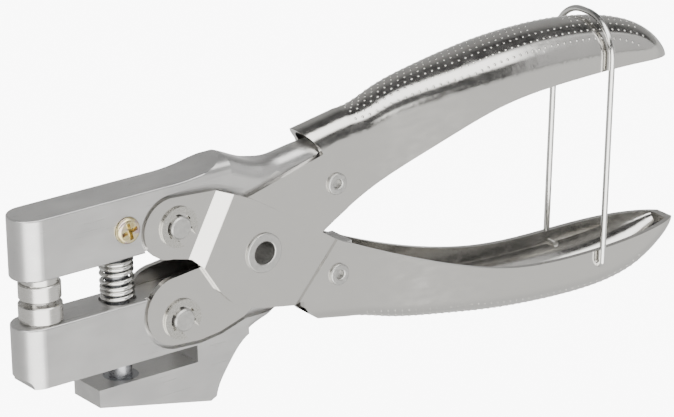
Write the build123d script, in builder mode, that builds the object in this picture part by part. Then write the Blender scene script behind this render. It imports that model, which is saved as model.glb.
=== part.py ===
from build123d import *
import os

os.makedirs("parts", exist_ok=True)

# Parallel-action hand punch with an eyelet setter at its nose, shown closed, in millimetres.
# Origin: the centre of the hollow pivot rivet. +X runs back along the handles, +Y is the far side,
# +Z points from the lower jaw to the upper jaw. The working faces of both jaws are level.

# ---- linkage ----
PIN_X = 24.4  # each jaw pin stands this far in front of or behind the pivot
PIN_Z = 12.5  # and this far above or below it
SLIDE_TRAVEL = 4.8  # how far a slide sleeve can move along its jaw's slot

# ---- jaws and sheet ----
NOSE_X = -70.1  # tip of the upper jaw
NOSE_STEP = 0.4  # the lower jaw's tip stands this far in front of it
JAW_HALF = 6.0  # half the jaws' full width, which is also the radius of the nose
WEB_HALF = 4.4  # half the jaws' width between the side plates
SHEET = 1.6  # steel sheet of the handles
GAP = 0.1  # running gap between neighbouring plates and jaw webs
UPPER_TOP = 24.0
UPPER_BOTTOM = 7.6
HUMP_X = -7.8  # crest of the hump behind the upper jaw's flat top
HUMP_TOP = 27.2
LOWER_TOP = -4.9
SLOT_TOP = -20.9  # roof of the paper slot
SLOT_FLOOR = -25.6
SLOT_END_X = -20.0
FOOT_X = -49.9  # front face of the foot under the paper slot
FOOT_FRONT_Z = -30.3
HEEL = (-16.4, -37.3)
NOSE_CORNER_R = 2.5
ARM_INNER_Z = 6.6  # height of the upper arm's underside
UPPER_ARM_ROUND = 4.2  # rounding along the arms' backs
LOWER_ARM_ROUND = 2.4
UPPER_LOBE = (-26.4, 12.4, 8.2)  # x, z and radius of the lower handle's lobe at the upper jaw's pin
LOWER_LOBE = (-25.5, -10.0, 9.2)  # and of the upper handle's lobe at the lower jaw's pin
LOBE_GAP = 1.0  # gap between a lobe and the recess that it turns in
EDGE_R = 0.5  # small edge rounds of the castings

# ---- punch ----
PUNCH_X = -39.6
PUNCH_R = 3.0
PUNCH_TIP_Z = -26.0
PUNCH_TOP_Z = 19.6
PUNCH_NOTCH = 1.3  # depth of the V ground across the punch's end
GUIDE_CLEARANCE = 0.05
LOOSE_CLEARANCE = 0.1  # the pivot hole of the lower handle, and the slide slots
FIT_CLEARANCE = 0.02  # pieces that are pushed or clamped together
DIE_BUSH_WALL = 1.6
DIE_BUSH_HEIGHT = 4.4
CHIP_CLEARANCE = 0.6  # the hole for the punched bits is this much wider than the punch, all round
SCREW_Z = 15.2
SCREW_HEAD_R = 3.5
SCREW_HEAD_HEIGHT = 1.9
SCREW_SEAT_DEPTH = 0.6
SCREW_SHANK_R = 2.0
CROSS_LENGTH = 4.6
CROSS_WIDTH = 1.1
CROSS_DEPTH = 1.2
CROSS_TURN = 15.0
SPRING_CLEARANCE = 0.3  # between the punch and the return spring
SPRING_WIRE_R = 0.6
SPRING_TURNS = 7.0
SEAT_DEPTH = 1.0
SEAT_CLEARANCE = 0.3

# ---- eyelet dies ----
DIE_SETBACK = 7.8  # from the upper jaw's tip to the dies' axis
UPPER_RING = (5.5, 1.3, 5.6)  # radius, underside and top of the upper die's ring
LOWER_RING = (5.7, -4.6, 0.0)
RING_NECK_INSET = 0.6
DIE_SHANK_R = 3.6
DIE_SHANK_LENGTH = 5.0
DIE_BOSS_R = 3.9
DIE_GAP = 0.4  # between the two dies when the jaws are closed
DIE_ROOF = 2.4  # metal over the centring pin's flange
CENTRE_PIN_R = 1.4
CENTRE_PIN_RISE = 2.6  # how far the centring pin stands out of the lower die
CENTRE_FLANGE_R = 2.2
CENTRE_FLANGE_T = 1.0
CENTRE_CLEARANCE = 0.08
CENTRE_WIRE_R = 0.25
CENTRE_TURNS = 6.0

# ---- pins, clips and rivets ----
AXLE_R = 3.0  # front jaw pins
AXLE_HEAD_MARGIN = 2.4
AXLE_HEAD_T = 1.2
GROOVE_DEPTH = 0.6
CLIP_MARGIN = 2.4  # how far a clip reaches past its pin
CLIP_T = 0.7
CLIP_RIM = 1.7  # width of the clip's rim
CLIP_MOUTH = 4.4
CLIP_LUG = 2.2  # width of the lugs that grip the groove
CLIP_TURN = -55.0  # where the mouth points, in degrees up from +X
AXLE_END = 0.9  # pin length outside its clip
RIVET_HEAD_R = 2.9  # rear slide rivets
RIVET_HEAD_T = 0.8
RIVET_SHANK_R = 2.0
RIVET_HOLLOW_R = 1.2
RIVET_HOLLOW_DEPTH = 1.2  # each end is drilled this deep
SLEEVE_R = 3.0
PIVOT_TUBE_R = 4.1
PIVOT_BORE_R = 3.1
PIVOT_FLANGE_R = 5.3
PIVOT_FLANGE_T = 0.7
PIVOT_SLEEVE_R = 4.9

# ---- wire bail ----
WIRE_R = 0.85
BAIL_PIVOT = (106.5, -28.6)
BAIL_TOP = (111.0, 39.4)
BAIL_HALF = 12.2
BAIL_CORNER_R = 11.0
BAIL_BEND_R = 1.2
BAIL_HOLE_R = 0.9
BAIL_END_IN = 4.4  # how far each bent end reaches in from its leg

# ---- derived sizes ----
INNER_IN = WEB_HALF + GAP  # plates at the inner level
INNER_OUT = INNER_IN + SHEET
OUTER_IN = INNER_OUT + GAP  # plates at the outer level
OUTER_OUT = OUTER_IN + SHEET
HEAD_IN = INNER_OUT + GUIDE_CLEARANCE  # heads and clips bear on the inner-level plates here
BOSS_TOP = UPPER_RING[1] - DIE_GAP
LOWER_NOSE_X = NOSE_X - NOSE_STEP
DIE_X = NOSE_X + DIE_SETBACK
CHIP_HOLE_R = PUNCH_R + CHIP_CLEARANCE
DIE_BUSH_R = PUNCH_R + DIE_BUSH_WALL
SPRING_R = PUNCH_R + SPRING_CLEARANCE + SPRING_WIRE_R  # mean radius of the return spring
SPRING_SEAT_R = SPRING_R + SPRING_WIRE_R + SEAT_CLEARANCE
GROOVE_R = AXLE_R - GROOVE_DEPTH
CLIP_R = AXLE_R + CLIP_MARGIN
AXLE_HEAD_R = AXLE_R + AXLE_HEAD_MARGIN
REACH = 90.0  # cuts of this length go right through

# Grip stations: x, half width, distance of the spine from the X axis, height of its half-round.
UPPER_GRIP = [
    (15.0, INNER_OUT, 27.4, INNER_OUT),
    (30.0, INNER_OUT, 30.0, INNER_OUT),
    (42.0, 7.0, 32.9, 6.6),
    (58.0, 9.0, 36.2, 7.4),
    (76.0, 10.6, 38.5, 8.4),
    (94.0, 10.9, 39.2, 9.0),
    (110.0, 10.7, 37.9, 9.0),
    (122.0, 9.4, 35.0, 8.4),
    (129.5, 7.4, 31.4, 6.8),
    (133.8, 5.0, 27.6, 4.2),
    (136.0, 3.0, 24.6, 2.2),
]
LOWER_GRIP = [
    (12.0, INNER_OUT, 24.0, INNER_OUT),
    (30.0, INNER_OUT, 27.4, INNER_OUT),
    (42.0, 7.0, 30.4, 6.6),
    (58.0, 9.0, 33.6, 7.4),
    (76.0, 10.6, 36.4, 8.4),
    (94.0, 10.9, 38.0, 9.0),
    (110.0, 10.7, 38.1, 9.0),
    (122.0, 9.4, 36.2, 8.4),
    (130.5, 7.2, 32.6, 6.6),
    (135.8, 4.8, 29.0, 3.6),
    (138.2, 3.0, 26.8, 1.8),
]
# Free edge of each grip and front edge of its mouth, as x and distance from the X axis.
UPPER_RIM = [(24.0, 2.8), (37.9, 10.0), (56.3, 17.2), (74.0, 23.0), (96.3, 25.3), (115.0, 25.2), (136.2, 22.2)]
LOWER_RIM = [(24.4, 3.1), (34.6, 7.9), (52.0, 15.2), (64.5, 19.5), (80.0, 23.2), (100.0, 24.7), (138.4, 24.8)]
UPPER_MOUTH = [(15.4, 27.8), (17.5, 26.0), (20.0, 22.8), (20.8, 20.6), (20.8, 1.2)]
LOWER_MOUTH = [(21.6, 26.2), (17.9, 23.5), (15.4, 20.8), (13.4, 19.2), (13.0, 16.0)]

# Backs of the two jaw arms, as x and distance from the X axis, and where each arm narrows to the web.
UPPER_ARM = [(HUMP_X, 27.0), (-4.6, 25.6), (1.0, 23.2), (6.0, 22.6), (11.0, 23.1), (16.0, 23.8), (30.0, 21.0)]
LOWER_ARM = [(-6.0, 23.0), (0.0, 19.7), (6.0, 18.2), (14.0, 17.4), (30.0, 17.4)]
UPPER_TAPER = (1.0, 9.0)
LOWER_TAPER = (1.0, 7.2)


def channel_section(x, half, spine, round_height, foot, side):
    """One closed section across X: straight sides with a half-round spine, at +Z or -Z."""
    shoulder = spine - round_height
    start = 0 if side > 0 else 180
    with BuildSketch(Plane.YZ.offset(x)) as section:
        with BuildLine():
            EllipticalCenterArc((0, side * shoulder), half, round_height, start_angle=start, arc_size=180)
            Polyline((-half, side * shoulder), (-half, side * foot), (half, side * foot),
                     (half, side * shoulder))
        make_face()
    return section.sketch


def grip_solid(stations, foot, side):
    """Straight from the first station to the second, then one smooth loft through the others."""
    with BuildPart() as solid:
        for x, half, spine, height in stations[:2]:
            add(channel_section(x, half, spine, height, foot, side))
        loft(ruled=True)
        for x, half, spine, height in stations[1:]:
            add(channel_section(x, half, spine, height, foot, side))
        loft()
    return solid.part


def grip_shell(stations, rim, mouth, side):
    """Sheet channel through the stations, open along its rim and at its mouth."""
    hollow = [(x, half - SHEET, spine - SHEET, height - SHEET / 2) for x, half, spine, height in stations[:-1]]
    with BuildPart() as shell:
        add(grip_solid(stations, 1.0, side))
        add(grip_solid(hollow, 0.0, side), mode=Mode.SUBTRACT)
        with BuildSketch(Plane.XZ):
            with BuildLine():
                far_x, far_z = rim[-1]
                Spline([(x, side * z) for x, z in rim])
                Polyline(
                    (far_x, side * far_z),
                    (far_x + 5, side * far_z),
                    (far_x + 5, side * REACH),
                    (mouth[0][0], side * REACH),
                    *[(x, side * z) for x, z in mouth],
                    (rim[0][0], side * rim[0][1]),
                )
            make_face()
        extrude(amount=REACH, both=True, mode=Mode.INTERSECT)
    return shell.part


def jaw_arm(back, taper, inner_z, rounding, side):
    """Rear arm of a jaw: full width at its root, as wide as the web further back, with a rounded back."""
    root_x, root_z = back[0]
    end_x, end_z = back[-1]
    with BuildPart() as arm:
        with BuildSketch(Plane.XZ):
            with BuildLine():
                Spline([(x, side * z) for x, z in back])
                Polyline((root_x, side * root_z), (root_x, inner_z), (end_x, inner_z), (end_x, side * end_z))
            make_face()
        extrude(amount=JAW_HALF, both=True)
        with BuildSketch(Plane.XY):
            with BuildLine():
                Polyline((root_x, 0), (root_x, JAW_HALF), (taper[0], JAW_HALF))
                Spline((taper[0], JAW_HALF), (taper[1], WEB_HALF), tangents=[(1, 0), (1, 0)])
                Polyline((taper[1], WEB_HALF), (end_x, WEB_HALF), (end_x, 0))
                mirror(about=Plane.XZ)
            make_face()
        extrude(amount=REACH, both=True, mode=Mode.INTERSECT)
        outer = arm.edges().filter_by(lambda e: abs(e.center().Y) > 4 and side * (e.center().Z - inner_z) > 9)
        fillet(outer.filter_by(lambda e: root_x + 0.1 < e.center().X < end_x - 0.1), radius=rounding)
    return arm.part


def disc(y_low, y_high, x, z, radius, mode=Mode.ADD):
    """A disc about an axis along Y, added to or cut from the open part."""
    with BuildSketch(Plane.XZ.offset(-y_high)) as profile:
        with Locations((x, z)):
            Circle(radius)
    extrude(profile.sketch, amount=y_high - y_low, mode=mode)


def post(z_low, z_high, x, radius, mode=Mode.ADD):
    """A disc about an upright axis in the mid-plane, added to or cut from the open part."""
    with BuildSketch(Plane.XY.offset(z_low)) as profile:
        with Locations((x, 0)):
            Circle(radius)
    extrude(profile.sketch, amount=z_high - z_low, mode=mode)


def nose_plan(nose_x):
    """Cuts the open part to the jaws' plan: parallel sides and a half-round nose."""
    with BuildSketch(Plane.XY) as plan:
        with Locations((nose_x + JAW_HALF, 0)):
            Circle(JAW_HALF)
            Rectangle(2 * REACH, 2 * JAW_HALF, align=(Align.MIN, Align.CENTER))
    extrude(plan.sketch, amount=REACH, both=True, mode=Mode.INTERSECT)


def jaw_recess(lobe, corners):
    """Cuts both sides of the open jaw down to the web: round the lobe, and inside the corners behind it."""
    for side in (-1, 1):
        with BuildSketch(Plane.XZ.offset(side * WEB_HALF)) as profile:
            with Locations((lobe[0], lobe[1])):
                Circle(lobe[2] + LOBE_GAP)
            Polygon(*corners, align=None)
        extrude(profile.sketch, amount=side * REACH, mode=Mode.SUBTRACT)


def slide_slot(z):
    """Cuts the long slot that a slide sleeve runs in through the open jaw."""
    with BuildSketch(Plane.XZ) as profile:
        with Locations((PIN_X - SLIDE_TRAVEL / 2, z)):
            SlotOverall(SLIDE_TRAVEL + 2 * (SLEEVE_R + 2 * GAP), 2 * (SLEEVE_R + LOOSE_CLEARANCE))
    extrude(profile.sketch, amount=REACH, both=True, mode=Mode.SUBTRACT)


def joggled_band(inner_start, inner_end, ramp):
    """Both side sheets, bent from the inner to the outer level right of the line from start to end."""
    start = Vector(inner_start[0], 0, inner_start[1])
    run = (Vector(inner_end[0], 0, inner_end[1]) - start).normalized()
    across = Vector(run.Z, 0, -run.X)
    with BuildPart() as band:
        with BuildSketch(Plane(origin=start, x_dir=across, z_dir=run)):
            with BuildLine():
                FilletPolyline(
                    (-REACH, INNER_IN), (0, INNER_IN), (ramp, OUTER_IN), (REACH, OUTER_IN),
                    radius=(SHEET, SHEET / 2))
                FilletPolyline(
                    (-REACH, INNER_OUT), (0, INNER_OUT), (ramp, OUTER_OUT), (REACH, OUTER_OUT),
                    radius=(SHEET / 2, SHEET))
                Line((-REACH, INNER_IN), (-REACH, INNER_OUT))
                Line((REACH, OUTER_IN), (REACH, OUTER_OUT))
            make_face()
            mirror(about=Plane.XZ)
        extrude(amount=REACH, both=True)
    return band.part


# ---- upper jaw: zinc casting with a flat top, a hump, and a rounded arm behind it ----
upper_arm = jaw_arm(UPPER_ARM, UPPER_TAPER, ARM_INNER_Z, UPPER_ARM_ROUND, 1)
with BuildPart() as upper_jaw:
    with BuildSketch(Plane.XZ):
        with BuildLine():
            Polyline((-25.0, UPPER_TOP), (NOSE_X, UPPER_TOP), (NOSE_X, UPPER_BOTTOM), (-31.0, UPPER_BOTTOM),
                     (-30.0, ARM_INNER_Z), (HUMP_X, ARM_INNER_Z), (HUMP_X, HUMP_TOP))
            Spline((-25.0, UPPER_TOP), (-17.0, 24.6), (-12.0, 25.8), (HUMP_X, HUMP_TOP),
                   tangents=[(1, 0), (1, 0.1)])
        make_face()
    extrude(amount=JAW_HALF, both=True)
    nose_plan(NOSE_X)
    rims = upper_jaw.edges().filter_by(lambda e: e.length > 12 and abs(e.center().Z - 15.8) > 2)
    fillet(rims.filter_by(lambda e: e.center().X < -14 and e.center().Z > UPPER_BOTTOM - 0.1), radius=EDGE_R)
    with BuildSketch(Plane.YZ.offset(-REACH)) as arch:
        with Locations((0, UPPER_TOP)):
            Ellipse(JAW_HALF, HUMP_TOP - UPPER_TOP)
            Rectangle(2 * JAW_HALF, REACH, align=(Align.CENTER, Align.MAX))
    extrude(arch.sketch, amount=REACH, mode=Mode.INTERSECT)
    add(upper_arm)
    jaw_recess(UPPER_LOBE, [(-26.4, 21.6), (-19.5, 22.0), (-12.5, 21.2), (-7.5, 19.2), (-2.5, 17.2), (9.5, 20.4),
                            (9.5, 45.0), (45.0, 45.0), (45.0, 0.0), (-26.4, 0.0)])
    disc(-REACH, REACH, -PIN_X, PIN_Z, AXLE_R + FIT_CLEARANCE, Mode.SUBTRACT)
    slide_slot(PIN_Z)
    post(UPPER_BOTTOM, PUNCH_TOP_Z + GAP, PUNCH_X, PUNCH_R + FIT_CLEARANCE, Mode.SUBTRACT)
    post(UPPER_BOTTOM, UPPER_BOTTOM + SEAT_DEPTH, PUNCH_X, SPRING_SEAT_R, Mode.SUBTRACT)
    post(UPPER_BOTTOM, UPPER_BOTTOM + DIE_SHANK_LENGTH, DIE_X, DIE_SHANK_R + FIT_CLEARANCE, Mode.SUBTRACT)
    disc(-REACH, SCREW_SEAT_DEPTH - JAW_HALF, PUNCH_X, SCREW_Z, SCREW_HEAD_R + 2 * GUIDE_CLEARANCE, Mode.SUBTRACT)
    disc(-JAW_HALF, 0, PUNCH_X, SCREW_Z, SCREW_SHANK_R + FIT_CLEARANCE, Mode.SUBTRACT)
upper_jaw.part.label = "upper_jaw"
export_step(upper_jaw.part, "parts/upper_jaw.step")

# ---- lower jaw: die block, paper slot, foot, and a rounded arm behind them ----
lower_arm = jaw_arm(LOWER_ARM, LOWER_TAPER, LOWER_TOP, LOWER_ARM_ROUND, -1)
with BuildPart() as lower_jaw:
    with BuildSketch(Plane.XZ):
        with BuildLine():
            Polyline((LOWER_NOSE_X + NOSE_CORNER_R, SLOT_TOP), (SLOT_END_X, SLOT_TOP), (SLOT_END_X, SLOT_FLOOR),
                     (FOOT_X, SLOT_FLOOR), (FOOT_X, FOOT_FRONT_Z), HEEL, (-14.6, -36.4))
            Spline((-14.6, -36.4), (-11.0, -29.2), (-6.0, -23.2), (-4.0, -21.9), tangents=[(0.2, 1), (1, 0.5)])
            Polyline((-4.0, -21.9), (-4.0, LOWER_TOP), (LOWER_NOSE_X, LOWER_TOP),
                     (LOWER_NOSE_X, SLOT_TOP + NOSE_CORNER_R))
            RadiusArc((LOWER_NOSE_X, SLOT_TOP + NOSE_CORNER_R), (LOWER_NOSE_X + NOSE_CORNER_R, SLOT_TOP),
                      NOSE_CORNER_R)
        make_face()
    extrude(amount=JAW_HALF, both=True)
    nose_plan(LOWER_NOSE_X)
    tops = lower_jaw.edges().filter_by(lambda e: e.length > 12 and abs(e.center().Z - LOWER_TOP) < 0.01)
    fillet(tops, radius=EDGE_R)
    add(lower_arm)
    jaw_recess(LOWER_LOBE, [(-25.5, -20.2), (-19.0, -20.6), (-12.5, -19.7), (-5.0, -17.4), (7.2, -17.4),
                            (7.2, -30.0), (45.0, -30.0), (45.0, 0.0), (-25.5, 0.0)])
    disc(-REACH, REACH, -PIN_X, -PIN_Z, AXLE_R + FIT_CLEARANCE, Mode.SUBTRACT)
    slide_slot(-PIN_Z)
    post(SLOT_TOP, LOWER_TOP, PUNCH_X, PUNCH_R + GUIDE_CLEARANCE, Mode.SUBTRACT)
    post(LOWER_TOP - SEAT_DEPTH, LOWER_TOP, PUNCH_X, SPRING_SEAT_R, Mode.SUBTRACT)
    post(SLOT_FLOOR - DIE_BUSH_HEIGHT, SLOT_FLOOR, PUNCH_X, DIE_BUSH_R + FIT_CLEARANCE, Mode.SUBTRACT)
    post(-REACH, SLOT_FLOOR, PUNCH_X, CHIP_HOLE_R, Mode.SUBTRACT)
    post(LOWER_TOP - DIE_SHANK_LENGTH, LOWER_TOP, DIE_X, DIE_SHANK_R + FIT_CLEARANCE, Mode.SUBTRACT)
lower_jaw.part.label = "lower_jaw"
export_step(lower_jaw.part, "parts/lower_jaw.step")

# ---- upper handle: grip shell and two inner-level plates that reach forward to the lower jaw's pin ----
with BuildPart() as upper_handle:
    add(grip_shell(UPPER_GRIP, UPPER_RIM, UPPER_MOUTH, 1))
    for side in (-1, 1):
        with BuildSketch(Plane.XZ.offset(side * INNER_IN)):
            with Locations((LOWER_LOBE[0], LOWER_LOBE[1])):
                Circle(LOWER_LOBE[2])
            Polygon((-25.5, -0.8), (-21.2, -0.3), (-18.0, 0.0), (-16.3, 1.9), (-6.8, 13.2), (-5.2, 15.2),
                    (-2.6, 15.4), (20.8, 21.4),
                    (28.0, 21.4), (28.0, 5.0), (24.0, 2.8), (19.8, 0.3), (-1.0, -13.5), (-5.5, -16.6),
                    (-13.0, -18.9), (-19.0, -19.6), (-25.5, -19.2), align=None)
        extrude(amount=side * SHEET)
    disc(-REACH, REACH, 0, 0, PIVOT_TUBE_R + FIT_CLEARANCE, Mode.SUBTRACT)
    disc(-REACH, REACH, PIN_X, PIN_Z, RIVET_SHANK_R + FIT_CLEARANCE, Mode.SUBTRACT)
    disc(-REACH, REACH, -PIN_X, -PIN_Z, AXLE_R + GUIDE_CLEARANCE, Mode.SUBTRACT)
upper_handle.part.label = "upper_handle"
export_step(upper_handle.part, "parts/upper_handle.step")

# ---- lower handle: grip shell, and plates that step outwards over the pivot and in again at each end ----
with BuildPart() as front_plates:
    add(joggled_band((-21.5, 3.4), (-12.9, 19.1), 4.6))
    with BuildSketch(Plane.XZ):
        with Locations((UPPER_LOBE[0], UPPER_LOBE[1])):
            Circle(UPPER_LOBE[2])
        Polygon((-26.4, 20.6), (-13.2, 19.6), (-6.9, 17.2), (-2.4, 14.9), (5.2, 10.1), (5.2, -16.2), (-1.1, -14.9),
                (-5.9, -13.5), (-9.6, -11.5), (-13.5, -7.4), (-18.2, 0.2), (-20.9, 2.8), (-26.4, 4.2), align=None)
    extrude(amount=REACH, both=True, mode=Mode.INTERSECT)
with BuildPart() as rear_plates:
    add(joggled_band((24.4, -3.1), (11.3, -17.9), 2.4))
    with BuildSketch(Plane.XZ):
        Polygon((5.2, 10.1), (17.4, 1.8), (22.7, -1.9), (24.4, -3.1), (28.0, -5.0), (28.0, -17.0), (13.3, -17.4),
                (9.3, -16.9), (5.2, -16.2), align=None)
    extrude(amount=REACH, both=True, mode=Mode.INTERSECT)
with BuildPart() as lower_handle:
    add(grip_shell(LOWER_GRIP, LOWER_RIM, LOWER_MOUTH, -1))
    add(front_plates.part)
    add(rear_plates.part)
    disc(-REACH, REACH, 0, 0, PIVOT_TUBE_R + LOOSE_CLEARANCE, Mode.SUBTRACT)
    disc(-REACH, REACH, PIN_X, -PIN_Z, RIVET_SHANK_R + FIT_CLEARANCE, Mode.SUBTRACT)
    disc(-REACH, REACH, -PIN_X, PIN_Z, AXLE_R + GUIDE_CLEARANCE, Mode.SUBTRACT)
    disc(-REACH, REACH, *BAIL_PIVOT, BAIL_HOLE_R, Mode.SUBTRACT)
lower_handle.part.label = "lower_handle"
export_step(lower_handle.part, "parts/lower_handle.step")

# ---- hollow pivot rivet with a flange on each side, and the sleeve that keeps the plates apart ----
PIVOT_FACE = OUTER_OUT + GUIDE_CLEARANCE
with BuildPart() as pivot_rivet:
    disc(-PIVOT_FACE, PIVOT_FACE, 0, 0, PIVOT_TUBE_R)
    disc(PIVOT_FACE, PIVOT_FACE + PIVOT_FLANGE_T, 0, 0, PIVOT_FLANGE_R)
    disc(-PIVOT_FACE - PIVOT_FLANGE_T, -PIVOT_FACE, 0, 0, PIVOT_FLANGE_R)
    disc(-REACH, REACH, 0, 0, PIVOT_BORE_R, Mode.SUBTRACT)
    faces_out = pivot_rivet.edges().filter_by(lambda e: abs(e.center().Y) > PIVOT_FACE + PIVOT_FLANGE_T - 0.01)
    fillet(faces_out, radius=PIVOT_FLANGE_T * 0.45)
pivot_rivet.part.label = "pivot_rivet"
export_step(pivot_rivet.part, "parts/pivot_rivet.step")

with BuildPart() as pivot_sleeve:
    disc(-INNER_IN + FIT_CLEARANCE, INNER_IN - FIT_CLEARANCE, 0, 0, PIVOT_SLEEVE_R)
    disc(-REACH, REACH, 0, 0, PIVOT_TUBE_R + FIT_CLEARANCE, Mode.SUBTRACT)
pivot_sleeve.part.label = "pivot_sleeve"
export_step(pivot_sleeve.part, "parts/pivot_sleeve.step")

# ---- front jaw pins and their spring clips ----
CLIP_IN = -HEAD_IN
CLIP_OUT = CLIP_IN - CLIP_T
for name, level in (("upper", PIN_Z), ("lower", -PIN_Z)):
    with BuildPart() as front_pin:
        disc(CLIP_OUT - AXLE_END, HEAD_IN, -PIN_X, level, AXLE_R)
        disc(HEAD_IN, HEAD_IN + AXLE_HEAD_T, -PIN_X, level, AXLE_HEAD_R)
        fillet(front_pin.edges().sort_by(Axis.Y)[-1], radius=AXLE_HEAD_T * 0.6)
        chamfer(front_pin.edges().sort_by(Axis.Y)[0], length=AXLE_END * 0.4)
        with BuildSketch(Plane.XZ.offset(-CLIP_IN)):
            with Locations((-PIN_X, level)):
                Circle(AXLE_R + GAP)
                Circle(GROOVE_R, mode=Mode.SUBTRACT)
        extrude(amount=CLIP_T, mode=Mode.SUBTRACT)
    front_pin.part.label = name + "_front_pin"
    export_step(front_pin.part, "parts/" + name + "_front_pin.step")

    with BuildPart() as front_clip:
        with BuildSketch(Plane.XZ.offset(-CLIP_IN)):
            with Locations((-PIN_X, level)):
                Circle(CLIP_R)
                Circle(CLIP_R - CLIP_RIM, mode=Mode.SUBTRACT)
            for turn in (CLIP_TURN + 180, CLIP_TURN + 65, CLIP_TURN - 65):
                with Locations(Location((-PIN_X, level), turn)):
                    Rectangle(CLIP_R - CLIP_RIM / 2, CLIP_LUG, align=(Align.MIN, Align.CENTER))
            with Locations((-PIN_X, level)):
                Circle(GROOVE_R + FIT_CLEARANCE, mode=Mode.SUBTRACT)
            with Locations(Location((-PIN_X, level), CLIP_TURN)):
                Rectangle(2 * CLIP_R, CLIP_MOUTH, align=(Align.MIN, Align.CENTER), mode=Mode.SUBTRACT)
        extrude(amount=CLIP_T)
    front_clip.part.label = name + "_front_clip"
    export_step(front_clip.part, "parts/" + name + "_front_clip.step")

# ---- rear slide rivets, each in a sleeve that runs in its jaw's slot ----
RIVET_END = HEAD_IN + RIVET_HEAD_T
for name, level in (("upper", PIN_Z), ("lower", -PIN_Z)):
    with BuildPart() as slide_rivet:
        disc(-RIVET_END, RIVET_END, PIN_X, level, RIVET_SHANK_R)
        disc(HEAD_IN, RIVET_END, PIN_X, level, RIVET_HEAD_R)
        disc(-RIVET_END, -HEAD_IN, PIN_X, level, RIVET_HEAD_R)
        disc(-REACH, RIVET_HOLLOW_DEPTH - RIVET_END, PIN_X, level, RIVET_HOLLOW_R, Mode.SUBTRACT)
        disc(RIVET_END - RIVET_HOLLOW_DEPTH, REACH, PIN_X, level, RIVET_HOLLOW_R, Mode.SUBTRACT)
        crowns = slide_rivet.edges().filter_by(lambda e: abs(e.center().Y) > RIVET_END - 0.01)
        fillet(crowns, radius=RIVET_HEAD_T * 0.5)
    slide_rivet.part.label = name + "_slide_rivet"
    export_step(slide_rivet.part, "parts/" + name + "_slide_rivet.step")

    with BuildPart() as slide_sleeve:
        disc(GUIDE_CLEARANCE - INNER_IN, INNER_IN - GUIDE_CLEARANCE, PIN_X, level, SLEEVE_R)
        disc(-REACH, REACH, PIN_X, level, RIVET_SHANK_R + FIT_CLEARANCE, Mode.SUBTRACT)
    slide_sleeve.part.label = name + "_slide_sleeve"
    export_step(slide_sleeve.part, "parts/" + name + "_slide_sleeve.step")

# ---- punch with a V ground across its end, and the screw that locks it in the upper jaw ----
with BuildPart() as punch_pin:
    post(PUNCH_TIP_Z, PUNCH_TOP_Z, PUNCH_X, PUNCH_R)
    with BuildSketch(Plane.XZ):
        Polygon((PUNCH_X - PUNCH_R, PUNCH_TIP_Z - GAP), (PUNCH_X, PUNCH_TIP_Z + PUNCH_NOTCH),
                (PUNCH_X + PUNCH_R, PUNCH_TIP_Z - GAP), align=None)
    extrude(amount=REACH, both=True, mode=Mode.SUBTRACT)
punch_pin.part.label = "punch_pin"
export_step(punch_pin.part, "parts/punch_pin.step")

with BuildPart() as punch_lock_screw:
    HEAD_OUT = SCREW_SEAT_DEPTH - JAW_HALF - SCREW_HEAD_HEIGHT
    disc(HEAD_OUT, SCREW_SEAT_DEPTH - JAW_HALF, PUNCH_X, SCREW_Z, SCREW_HEAD_R)
    fillet(punch_lock_screw.edges().sort_by(Axis.Y)[0], radius=SCREW_HEAD_HEIGHT * 0.55)
    disc(SCREW_SEAT_DEPTH - JAW_HALF, -PUNCH_R - FIT_CLEARANCE, PUNCH_X, SCREW_Z, SCREW_SHANK_R)
    with BuildSketch(Plane.XZ.offset(-HEAD_OUT)):
        with Locations((PUNCH_X, SCREW_Z)):
            Rectangle(CROSS_LENGTH, CROSS_WIDTH, rotation=CROSS_TURN)
            Rectangle(CROSS_WIDTH, CROSS_LENGTH, rotation=CROSS_TURN)
    extrude(amount=-CROSS_DEPTH, taper=12, mode=Mode.SUBTRACT)
punch_lock_screw.part.label = "punch_lock_screw"
export_step(punch_lock_screw.part, "parts/punch_lock_screw.step")

# ---- hardened die bush under the punch ----
with BuildPart() as punch_die:
    post(SLOT_FLOOR - DIE_BUSH_HEIGHT, SLOT_FLOOR, PUNCH_X, DIE_BUSH_R)
    post(-REACH, REACH, PUNCH_X, PUNCH_R + GUIDE_CLEARANCE, Mode.SUBTRACT)
punch_die.part.label = "punch_die"
export_step(punch_die.part, "parts/punch_die.step")


def coil(x, z_low, z_high, radius, wire, turns):
    """A wire coil about an upright axis, between two seats."""
    rise = z_high - z_low - 2 * wire
    with BuildPart() as winding:
        with BuildLine(Plane(origin=(x, 0, z_low + wire))):
            path = Helix(pitch=rise / turns, height=rise, radius=radius)
        with BuildSketch(Plane(origin=path @ 0, z_dir=path % 0)):
            Circle(wire)
        sweep(path=path, is_frenet=True)
    return winding.part


# ---- return spring round the punch ----
return_spring = coil(PUNCH_X, LOWER_TOP - SEAT_DEPTH + GAP, UPPER_BOTTOM + SEAT_DEPTH - GAP,
                     SPRING_R, SPRING_WIRE_R, SPRING_TURNS)
return_spring.label = "return_spring"
export_step(return_spring, "parts/return_spring.step")

# ---- eyelet dies: a flanged die in each jaw, and a sprung pin that centres the eyelet ----
with BuildPart() as upper_eyelet_die:
    ring_r, ring_low, ring_high = UPPER_RING
    post(ring_low, ring_high, DIE_X, ring_r)
    chamfer(upper_eyelet_die.edges().filter_by(GeomType.CIRCLE), length=EDGE_R / 2)
    post(ring_high, UPPER_BOTTOM, DIE_X, ring_r - RING_NECK_INSET)
    post(UPPER_BOTTOM, UPPER_BOTTOM + DIE_SHANK_LENGTH - GAP, DIE_X, DIE_SHANK_R)
    post(ring_low, ring_low + 2 * CENTRE_PIN_RISE, DIE_X, CENTRE_PIN_R + 2 * GUIDE_CLEARANCE + GAP, Mode.SUBTRACT)
upper_eyelet_die.part.label = "upper_eyelet_die"
export_step(upper_eyelet_die.part, "parts/upper_eyelet_die.step")

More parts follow.
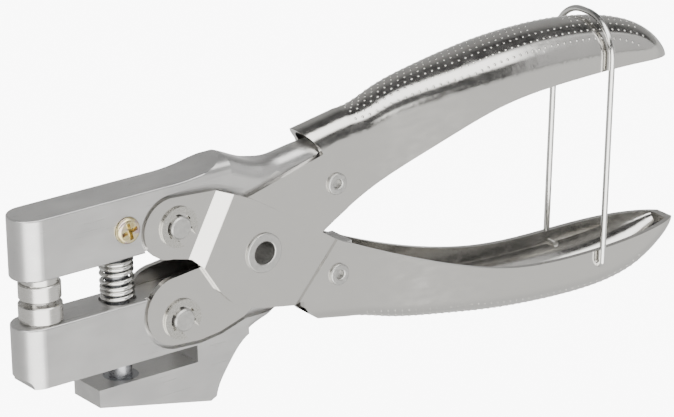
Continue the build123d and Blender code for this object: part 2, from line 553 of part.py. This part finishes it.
with BuildPart() as lower_eyelet_die:
    ring_r, ring_low, ring_high = LOWER_RING
    post(ring_low, ring_high, DIE_X, ring_r)
    chamfer(lower_eyelet_die.edges().filter_by(GeomType.CIRCLE), length=EDGE_R / 2)
    post(LOWER_TOP, ring_low, DIE_X, ring_r - RING_NECK_INSET)
    post(ring_high, BOSS_TOP, DIE_X, DIE_BOSS_R)
    post(LOWER_TOP - DIE_SHANK_LENGTH + GAP, LOWER_TOP, DIE_X, DIE_SHANK_R)
    post(-REACH, BOSS_TOP - DIE_ROOF, DIE_X, CENTRE_FLANGE_R + CENTRE_CLEARANCE, Mode.SUBTRACT)
    post(-REACH, REACH, DIE_X, CENTRE_PIN_R + CENTRE_CLEARANCE, Mode.SUBTRACT)
lower_eyelet_die.part.label = "lower_eyelet_die"
export_step(lower_eyelet_die.part, "parts/lower_eyelet_die.step")

FLANGE_TOP = BOSS_TOP - DIE_ROOF
with BuildPart() as centring_pin:
    post(FLANGE_TOP - CENTRE_FLANGE_T, FLANGE_TOP, DIE_X, CENTRE_FLANGE_R)
    post(FLANGE_TOP, BOSS_TOP + CENTRE_PIN_RISE, DIE_X, CENTRE_PIN_R)
    fillet(centring_pin.edges().sort_by(Axis.Z)[-1], radius=CENTRE_PIN_R * 0.7)
centring_pin.part.label = "centring_pin"
export_step(centring_pin.part, "parts/centring_pin.step")

centring_spring = coil(DIE_X, LOWER_TOP - DIE_SHANK_LENGTH, FLANGE_TOP - CENTRE_FLANGE_T,
                       CENTRE_FLANGE_R - 2 * CENTRE_WIRE_R, CENTRE_WIRE_R, CENTRE_TURNS)
centring_spring.label = "centring_spring"
export_step(centring_spring, "parts/centring_spring.step")

# ---- wire bail that holds the handles closed ----
bail_low = Vector(BAIL_PIVOT[0], 0, BAIL_PIVOT[1])
bail_rise = Vector(BAIL_TOP[0], 0, BAIL_TOP[1]) - bail_low
with BuildPart() as wire_bail:
    with BuildLine(Plane(origin=bail_low, x_dir=(0, 1, 0), z_dir=Vector(0, 1, 0).cross(bail_rise))) as bail_path:
        FilletPolyline(
            (BAIL_END_IN - BAIL_HALF, 0), (-BAIL_HALF, 0), (-BAIL_HALF, bail_rise.length),
            (BAIL_HALF, bail_rise.length), (BAIL_HALF, 0), (BAIL_HALF - BAIL_END_IN, 0),
            radius=(BAIL_BEND_R, BAIL_CORNER_R, BAIL_CORNER_R, BAIL_BEND_R))
    with BuildSketch(Plane(origin=bail_path.line @ 0, z_dir=bail_path.line % 0)):
        Circle(WIRE_R)
    sweep(path=bail_path.line)
wire_bail.part.label = "wire_bail"
export_step(wire_bail.part, "parts/wire_bail.step")
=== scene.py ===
import math

import bpy
from mathutils import Matrix, Vector
from mathutils.bvhtree import BVHTree


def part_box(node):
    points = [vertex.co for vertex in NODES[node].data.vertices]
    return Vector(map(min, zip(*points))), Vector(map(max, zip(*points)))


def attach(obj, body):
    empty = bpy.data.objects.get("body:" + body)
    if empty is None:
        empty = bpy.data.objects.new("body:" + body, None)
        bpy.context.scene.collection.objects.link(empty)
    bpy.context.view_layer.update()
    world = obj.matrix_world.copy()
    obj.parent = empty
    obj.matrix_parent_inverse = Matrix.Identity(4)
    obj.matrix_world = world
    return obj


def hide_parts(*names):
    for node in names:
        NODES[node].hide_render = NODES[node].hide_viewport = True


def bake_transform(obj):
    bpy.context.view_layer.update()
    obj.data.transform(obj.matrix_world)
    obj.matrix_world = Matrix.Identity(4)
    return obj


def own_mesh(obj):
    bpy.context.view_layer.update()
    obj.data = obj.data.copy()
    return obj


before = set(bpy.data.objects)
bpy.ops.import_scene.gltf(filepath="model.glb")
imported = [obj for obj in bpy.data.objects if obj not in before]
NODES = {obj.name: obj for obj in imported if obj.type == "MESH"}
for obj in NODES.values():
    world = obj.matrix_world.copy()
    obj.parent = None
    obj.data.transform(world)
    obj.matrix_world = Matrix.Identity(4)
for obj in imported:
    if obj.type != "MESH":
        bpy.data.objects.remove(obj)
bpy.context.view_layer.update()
MM = 0.001

# ---- the view ----
CAMERA_AT = Vector((-0.6149, -0.9187, 0.4293))
CAMERA_RIGHT = Vector((0.81333, -0.58127, -0.02482))
CAMERA_UP = Vector((0.22559, 0.27575, 0.93438))
CAMERA_VIEW = Vector((0.53629, 0.76556, -0.35541))
SENSOR_MM = 36.0
LENS_MM = 247.2


def add_camera():
    """Long lens, seen from the nose end, slightly above and in front."""
    data = bpy.data.cameras.new("camera")
    data.sensor_width = SENSOR_MM
    data.lens = LENS_MM
    data.clip_end = 20.0
    camera = bpy.data.objects.new("camera", data)
    bpy.context.scene.collection.objects.link(camera)
    turn = Matrix((CAMERA_RIGHT, CAMERA_UP, -CAMERA_VIEW)).transposed()
    camera.matrix_world = Matrix.Translation(CAMERA_AT) @ turn.to_4x4()
    bpy.context.scene.camera = camera


# ---- small helpers for nodes and colours ----
def srgb(code):
    """A linear colour from an sRGB hex code."""
    parts = [int(code[i:i + 2], 16) / 255 for i in (0, 2, 4)]
    linear = [c / 12.92 if c <= 0.04045 else ((c + 0.055) / 1.055) ** 2.4 for c in parts]
    return (*linear, 1.0)


def add_node(tree, kind, settings=None, links=None):
    """A node of a kind, with its properties and input values set, and its inputs linked to other sockets."""
    made = tree.nodes.new(kind)
    for key, value in (settings or {}).items():
        if key in made.inputs.keys() or isinstance(key, int):
            made.inputs[key].default_value = value
        else:
            setattr(made, key, value)
    for key, source in (links or {}).items():
        tree.links.new(source, made.inputs[key])
    return made


def new_metal(name, colour, roughness, **sockets):
    """A metal surface: its tree, its shader and its Object coordinates."""
    made = bpy.data.materials.new(name)
    made.use_nodes = True
    tree = made.node_tree
    shader = tree.nodes["Principled BSDF"]
    shader.inputs["Base Color"].default_value = srgb(colour)
    shader.inputs["Metallic"].default_value = 1.0
    shader.inputs["Roughness"].default_value = roughness
    for key, value in sockets.items():
        shader.inputs[key.replace("_", " ")].default_value = value
    coords = add_node(tree, "ShaderNodeTexCoord").outputs["Object"]
    return made, tree, shader, coords


def grain(tree, coords, scale, detail=3.0, roughness=0.55):
    """Noise over the surface, with its scale in features per millimetre along X, Y and Z."""
    mapped = add_node(tree, "ShaderNodeMapping", {"Scale": [s / MM for s in scale]}, {"Vector": coords})
    noise = add_node(tree, "ShaderNodeTexNoise", {"Scale": 1.0, "Detail": detail, "Roughness": roughness},
                     {"Vector": mapped.outputs[0]})
    return noise.outputs["Fac"]


def spread(tree, source, low, high):
    """Maps noise from its usual 0.3 to 0.7 onto low to high."""
    limits = {"From Min": 0.3, "From Max": 0.7, "To Min": low, "To Max": high}
    return add_node(tree, "ShaderNodeMapRange", limits, {"Value": source}).outputs["Result"]


def bump(tree, shader, height, depth_mm):
    """Relief of a real depth in millimetres."""
    made = add_node(tree, "ShaderNodeBump", {"Strength": 1.0, "Distance": depth_mm * MM}, {"Height": height})
    tree.links.new(made.outputs[0], shader.inputs["Normal"])


def two_tone(tree, factor, first, second):
    """A colour between two sRGB codes."""
    made = add_node(tree, "ShaderNodeMix", {"data_type": "RGBA"})
    made.inputs[6].default_value = srgb(first)
    made.inputs[7].default_value = srgb(second)
    tree.links.new(factor, made.inputs[0])
    return made.outputs[2]


# ---- finishes ----
def satin_nickel_casting():
    """Zinc casting, linished lengthwise and satin nickel plated: soft grey with fine lines along the jaw."""
    made, tree, shader, coords = new_metal("satin_nickel_casting", "BDBCBA", 0.34)
    lines = grain(tree, coords, (0.05, 5.0, 5.0), detail=4.0)
    clouds = grain(tree, coords, (0.08, 0.12, 0.12), detail=2.0)
    greys = two_tone(tree, spread(tree, clouds, 0.0, 1.0), "BFBEBC", "B2B1B0")
    tree.links.new(greys, shader.inputs["Base Color"])
    tree.links.new(spread(tree, lines, 0.27, 0.40), shader.inputs["Roughness"])
    bump(tree, shader, lines, 0.004)
    return made


def bright_nickel_sheet():
    """Pressed steel sheet, polished and bright nickel plated: mirror-like, with faint polishing haze."""
    made, tree, shader, coords = new_metal("bright_nickel_sheet", "C9C7C3", 0.14)
    haze = grain(tree, coords, (0.25, 0.6, 0.6), detail=4.0)
    lines = grain(tree, coords, (0.12, 3.0, 3.0), detail=3.0)
    tree.links.new(spread(tree, haze, 0.10, 0.20), shader.inputs["Roughness"])
    bump(tree, shader, lines, 0.0015)
    return made


def dull_rivet_steel():
    """Zinc-plated rivets and sleeves: flat grey with a fine grain."""
    made, tree, shader, coords = new_metal("dull_rivet_steel", "A8A7A4", 0.38)
    spots = grain(tree, coords, (1.2, 1.2, 1.2))
    tree.links.new(spread(tree, spots, 0.30, 0.46), shader.inputs["Roughness"])
    bump(tree, shader, spots, 0.004)
    return made


def turned_steel():
    """Turned and plated steel: clean, with faint rings."""
    made, tree, shader, coords = new_metal("turned_steel", "C2C0BC", 0.24)
    rings = grain(tree, coords, (0.4, 0.4, 5.0))
    tree.links.new(spread(tree, rings, 0.18, 0.30), shader.inputs["Roughness"])
    bump(tree, shader, rings, 0.003)
    return made


def spring_clip_steel():
    """Stamped spring steel, bright with a slightly yellow cast."""
    made, tree, shader, coords = new_metal("spring_clip_steel", "B5B3AD", 0.27)
    spots = grain(tree, coords, (1.6, 1.6, 1.6))
    tree.links.new(spread(tree, spots, 0.20, 0.34), shader.inputs["Roughness"])
    return made


def hardened_tool_steel():
    """Ground and hardened steel: darker, with fine grinding lines round it."""
    made, tree, shader, coords = new_metal("hardened_tool_steel", "8E8F92", 0.30)
    lines = grain(tree, coords, (0.6, 0.6, 6.0))
    tree.links.new(spread(tree, lines, 0.22, 0.38), shader.inputs["Roughness"])
    bump(tree, shader, lines, 0.002)
    return made


def yellow_passivated_zinc():
    """Yellow chromate over zinc: pale gold that shifts to pink and green in patches."""
    made, tree, shader, coords = new_metal("yellow_passivated_zinc", "C8B98A", 0.26)
    patches = grain(tree, coords, (0.35, 0.35, 0.35), detail=2.0)
    ramp = add_node(tree, "ShaderNodeValToRGB", None, {"Fac": patches})
    stops = ramp.color_ramp.elements
    stops[0].position, stops[0].color = 0.36, srgb("B9A97C")
    stops[1].position, stops[1].color = 0.64, srgb("B7A3A6")
    middle = stops.new(0.5)
    middle.color = srgb("D3C79B")
    tree.links.new(ramp.outputs["Color"], shader.inputs["Base Color"])
    return made


def drawn_wire():
    """Drawn and plated wire: bright, with faint lines along it."""
    made, tree, shader, coords = new_metal("drawn_wire", "CDCCC9", 0.16)
    spots = grain(tree, coords, (0.8, 0.8, 0.8))
    tree.links.new(spread(tree, spots, 0.12, 0.22), shader.inputs["Roughness"])
    return made


FINISHES = {
    satin_nickel_casting: ["upper_jaw", "lower_jaw"],
    bright_nickel_sheet: ["upper_handle", "lower_handle"],
    dull_rivet_steel: ["pivot_rivet", "pivot_sleeve", "upper_slide_rivet", "lower_slide_rivet",
                       "upper_slide_sleeve", "lower_slide_sleeve", "upper_front_pin", "lower_front_pin"],
    turned_steel: ["upper_eyelet_die", "lower_eyelet_die"],
    spring_clip_steel: ["upper_front_clip", "lower_front_clip"],
    hardened_tool_steel: ["punch_pin", "punch_die", "centring_pin"],
    yellow_passivated_zinc: ["punch_lock_screw"],
    drawn_wire: ["wire_bail", "return_spring", "centring_spring"],
}


def dress_cad_nodes():
    """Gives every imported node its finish."""
    for finish, names in FINISHES.items():
        material = finish()
        for name in names:
            slots = NODES[name].data.materials
            slots.clear()
            slots.append(material)


# ---- raised dots along the backs of the grips ----
DOT_STEP = 2.1  # mm, as are all sizes here
DOT_RADIUS = 0.42
DOT_HEIGHT = 0.13
DOT_ROWS = 9
GRIP_HALF = 10.4  # half width of a grip at its widest
NECK_HALF, NECK_X, NECK_TAPER = 5.2, 30.0, 0.14  # half width at the neck, and how fast it grows
TIP_TAPER, TIP_REACH = 1.1, 8.0  # how fast the grip narrows to its tip, and how far that is past the last dot
RAY_START = 60.0  # above or below the tool, for finding the surface
DOT_SPAN = 0.84  # the outer rows lie this share of the local half width from the middle


def mesh_object(name, points, faces, finish):
    """A smooth mesh at the origin with one finish."""
    mesh = bpy.data.meshes.new(name)
    mesh.from_pydata([tuple(point) for point in points], [], faces)
    mesh.polygons.foreach_set("use_smooth", [True] * len(mesh.polygons))
    mesh.materials.append(bpy.data.materials[finish])
    made = bpy.data.objects.new(name, mesh)
    bpy.context.scene.collection.objects.link(made)
    return made


def dot_group():
    """Geometry Nodes: a low dome on every point, its axis along the point's outward vector."""
    group = bpy.data.node_groups.new("raised_dots", "GeometryNodeTree")
    face = group.interface
    face.new_socket("Geometry", in_out="INPUT", socket_type="NodeSocketGeometry")
    face.new_socket("Dot radius", in_out="INPUT", socket_type="NodeSocketFloat")
    face.new_socket("Dot height", in_out="INPUT", socket_type="NodeSocketFloat")
    face.new_socket("Finish", in_out="INPUT", socket_type="NodeSocketMaterial")
    face.new_socket("Geometry", in_out="OUTPUT", socket_type="NodeSocketGeometry")
    given = add_node(group, "NodeGroupInput").outputs
    dome = add_node(group, "GeometryNodeMeshUVSphere", {"Segments": 8, "Rings": 4, "Radius": 1.0})
    size = add_node(group, "ShaderNodeCombineXYZ", None,
                    {"X": given["Dot radius"], "Y": given["Dot radius"], "Z": given["Dot height"]})
    outward = add_node(group, "GeometryNodeInputNamedAttribute",
                       {"data_type": "FLOAT_VECTOR", "Name": "outward"})
    turn = add_node(group, "FunctionNodeAlignRotationToVector", {"axis": "Z"},
                    {"Vector": outward.outputs["Attribute"]})
    spread_out = add_node(group, "GeometryNodeInstanceOnPoints", None,
                          {"Points": given["Geometry"], "Instance": dome.outputs["Mesh"],
                           "Rotation": turn.outputs[0], "Scale": size.outputs[0]})
    real = add_node(group, "GeometryNodeRealizeInstances", None, {"Geometry": spread_out.outputs[0]})
    finish = add_node(group, "GeometryNodeSetMaterial", None,
                      {"Geometry": real.outputs[0], "Material": given["Finish"]})
    add_node(group, "NodeGroupOutput", None, {"Geometry": finish.outputs[0]})
    return group


def add_dots(handle, side, first, last, gap, group):
    """Rows of dots over a handle's back from x first to last, left out inside the gap, side up or down."""
    skin = NODES[handle].data
    tree = BVHTree.FromPolygons([v.co for v in skin.vertices], [f.vertices for f in skin.polygons])
    spots = []
    outward = []
    for column in range(int((last - first) / DOT_STEP)):
        for row in range(DOT_ROWS):
            x = first + DOT_STEP * (column + 0.5 * (row % 2))
            if gap[0] < x < gap[1] and abs(row - DOT_ROWS // 2) < 2:
                continue
            neck = NECK_HALF + NECK_TAPER * max(0.0, x - NECK_X)
            half = min(GRIP_HALF, neck, TIP_TAPER * (last + TIP_REACH - x))
            y = half * DOT_SPAN * (2 * row / (DOT_ROWS - 1) - 1)
            at, normal, _, _ = tree.ray_cast(Vector((x, y, side * RAY_START)) * MM, Vector((0, 0, -side)))
            if at is not None and side * normal.z > 0.3:
                spots.append(at)
                outward.append(normal)
    dots = mesh_object(handle + "_dots", spots, [], "bright_nickel_sheet")
    stored = dots.data.attributes.new("outward", "FLOAT_VECTOR", "POINT")
    stored.data.foreach_set("vector", [c for normal in outward for c in normal])
    modifier = dots.modifiers.new("raised_dots", "NODES")
    modifier.node_group = group
    sizes = {"Dot radius": DOT_RADIUS * MM, "Dot height": DOT_HEIGHT * MM,
             "Finish": bpy.data.materials["bright_nickel_sheet"]}
    for item in group.interface.items_tree:
        if item.name in sizes:
            modifier[item.identifier] = sizes[item.name]
    plain = bpy.data.meshes.new_from_object(dots.evaluated_get(bpy.context.evaluated_depsgraph_get()))
    dots.modifiers.clear()
    dots.data = plain
    plain.polygons.foreach_set("use_smooth", [True] * len(plain.polygons))
    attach(dots, handle)


# ---- springs ----
COIL_RING = 10  # points round the wire
COIL_STEPS = 28  # points along each turn
RETURN_COIL = {"radius": 3.9, "wire": 0.6, "turns": 8}  # radii in mm
CENTRING_COIL = {"radius": 1.7, "wire": 0.25, "turns": 6}


def coil(name, x, low, high, radius, wire, turns):
    """Round wire wound about an upright axis, with the turns at both ends closed up; sizes in mm."""
    ring = COIL_RING
    steps = COIL_STEPS * turns
    points = []
    for i in range(steps + 1):
        share = i / steps
        angle = share * turns * 2 * math.pi
        ease = share + 0.05 * math.sin(4 * math.pi * (share - 0.5)) / 2
        rise = low + wire + (high - low - 2 * wire) * ease
        for k in range(ring):
            round_it = 2 * math.pi * k / ring
            out = radius + wire * math.cos(round_it)
            points.append(Vector((x + out * math.cos(angle), out * math.sin(angle),
                                  rise + wire * math.sin(round_it))) * MM)
    faces = [(i * ring + k, i * ring + (k + 1) % ring, (i + 1) * ring + (k + 1) % ring, (i + 1) * ring + k)
             for i in range(steps) for k in range(ring)]
    faces.append(tuple(range(ring))[::-1])
    faces.append(tuple(steps * ring + k for k in range(ring)))
    made = mesh_object(name, points, faces, "drawn_wire")
    return made


def add_springs():
    """Wound wire for the return spring between the jaws, left in place, and for the centring spring under its
    pin, carried by the lower jaw.
    """
    low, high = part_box("return_spring")
    middle = (low[0] + high[0]) / 2
    spring = coil("return_spring_wire", middle / MM, low[2] / MM, high[2] / MM, **RETURN_COIL)
    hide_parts("return_spring")
    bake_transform(spring)
    low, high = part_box("centring_spring")
    middle = (low[0] + high[0]) / 2
    small = coil("centring_spring_wire", middle / MM, low[2] / MM, high[2] / MM, **CENTRING_COIL)
    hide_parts("centring_spring")
    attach(small, "lower_jaw")
    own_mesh(small)


# ---- studio ----
FLOOR_DROP = 0.125  # metres, room for the bail, which hangs below the open handles
FLOOR_HALF = 6.0
EVEN_LIGHT = 9.0  # on the floor
PANEL_LIGHT = 6.0  # a panel low in front, to the left
SIDE_GREY = 0.75  # what is mirrored from far to the right
SURROUND = [  # mirrored brightness by angle: behind and below, under, in front, and over the top to the back
    (-180, 0.8), (-95, 0.95), (-60, 1.15), (-12, 1.15), (-4, 0.03), (38, 0.03),
    (48, 5.0), (76, 5.0), (86, 0.03), (118, 0.04), (142, 0.33), (180, 0.4)]


def add_floor():
    """Plain pale floor, below the reach of every pose. The metal mirrors the surround and not the floor."""
    signs = ((-1, -1), (1, -1), (1, 1), (-1, 1))
    corners = [(x * FLOOR_HALF, y * FLOOR_HALF, -FLOOR_DROP) for x, y in signs]
    material = bpy.data.materials.new("pale_floor")
    material.use_nodes = True
    shader = material.node_tree.nodes["Principled BSDF"]
    shader.inputs["Base Color"].default_value = srgb("FAFAFA")
    shader.inputs["Roughness"].default_value = 0.95
    shader.inputs["Specular IOR Level"].default_value = 0.0
    floor = mesh_object("studio_floor", corners, [(0, 1, 2, 3)], "pale_floor")
    floor.visible_glossy = False


def step(tree, value, low, high):
    """0 below low, 1 above high, and smooth between."""
    settings = {"interpolation_type": "SMOOTHSTEP", "From Min": low, "From Max": high}
    return add_node(tree, "ShaderNodeMapRange", settings, {"Value": value}).outputs["Result"]


def product(tree, first, second):
    """The product of two values."""
    return add_node(tree, "ShaderNodeMath", {"operation": "MULTIPLY"}, {0: first, 1: second}).outputs[0]


def add_surround():
    """Even white light on the floor, and long soft panels with dark gaps for what the metal mirrors."""
    world = bpy.data.worlds.new("studio")
    bpy.context.scene.world = world
    world.use_nodes = True
    tree = world.node_tree
    even = tree.nodes["Background"]
    even.inputs["Color"].default_value = (1, 1, 1, 1)
    even.inputs["Strength"].default_value = EVEN_LIGHT
    way = add_node(tree, "ShaderNodeTexCoord").outputs["Generated"]
    x, y, z = add_node(tree, "ShaderNodeSeparateXYZ", None, {0: way}).outputs
    front = add_node(tree, "ShaderNodeMath", {"operation": "MULTIPLY", 1: -1.0}, {0: y}).outputs[0]
    angle = add_node(tree, "ShaderNodeMath", {"operation": "ARCTAN2"}, {0: z, 1: front}).outputs[0]
    whole_turn = {"From Min": -math.pi, "From Max": math.pi}
    share = add_node(tree, "ShaderNodeMapRange", whole_turn, {"Value": angle})
    ramp = add_node(tree, "ShaderNodeValToRGB", None, {"Fac": share.outputs["Result"]})
    stops = ramp.color_ramp.elements
    while len(stops) < len(SURROUND):
        stops.new(0.5)
    for stop, (degrees, level) in zip(stops, SURROUND):
        stop.position = (degrees + 180) / 360
    for stop, (degrees, level) in zip(stops, SURROUND):
        stop.color = (level, level, level * 0.985, 1)
    panel = product(tree, step(tree, x, 0.30, 0.10), step(tree, x, -0.90, -0.80))
    panel = product(tree, panel, step(tree, angle, math.radians(-60), math.radians(-48)))
    panel = product(tree, panel, step(tree, angle, math.radians(18), math.radians(10)))
    right = product(tree, step(tree, x, 0.47, 0.57), step(tree, angle, math.radians(-10), math.radians(-2)))
    right = product(tree, right, step(tree, angle, math.radians(92), math.radians(76)))
    dulled = add_node(tree, "ShaderNodeMix", {"data_type": "RGBA"}, {0: right, 6: ramp.outputs["Color"]})
    dulled.inputs[7].default_value = (SIDE_GREY, SIDE_GREY, SIDE_GREY, 1)
    lit = add_node(tree, "ShaderNodeMix", {"data_type": "RGBA"}, {0: panel, 6: dulled.outputs[2]})
    lit.inputs[7].default_value = (PANEL_LIGHT, PANEL_LIGHT, PANEL_LIGHT * 0.98, 1)
    mirrored = add_node(tree, "ShaderNodeBackground", {"Strength": 1.0}, {"Color": lit.outputs[2]})
    glossy = add_node(tree, "ShaderNodeLightPath").outputs["Is Glossy Ray"]
    mix = add_node(tree, "ShaderNodeMixShader", None, {0: glossy, 1: even.outputs[0], 2: mirrored.outputs[0]})
    tree.links.new(mix.outputs[0], tree.nodes["World Output"].inputs["Surface"])


def add_light(name, at, towards, size, power):
    """A soft rectangular light for the floor, not mirrored in the metal."""
    data = bpy.data.lights.new(name, "AREA")
    data.shape = "RECTANGLE"
    data.size, data.size_y = size
    data.energy = power
    light = bpy.data.objects.new(name, data)
    bpy.context.scene.collection.objects.link(light)
    light.location = at
    light.rotation_euler = (Vector(towards) - Vector(at)).to_track_quat("-Z", "Y").to_euler()
    light.visible_glossy = False


add_camera()
add_surround()
add_floor()
add_light("top", (-0.2, -0.3, 1.4), (0, 0, 0), (1.6, 1.6), 30)
dress_cad_nodes()
dots = dot_group()
add_dots("upper_handle", 1, 32.0, 128.0, (91.0, 103.0), dots)
add_dots("lower_handle", -1, 34.0, 126.0, (0.0, 0.0), dots)
add_springs()
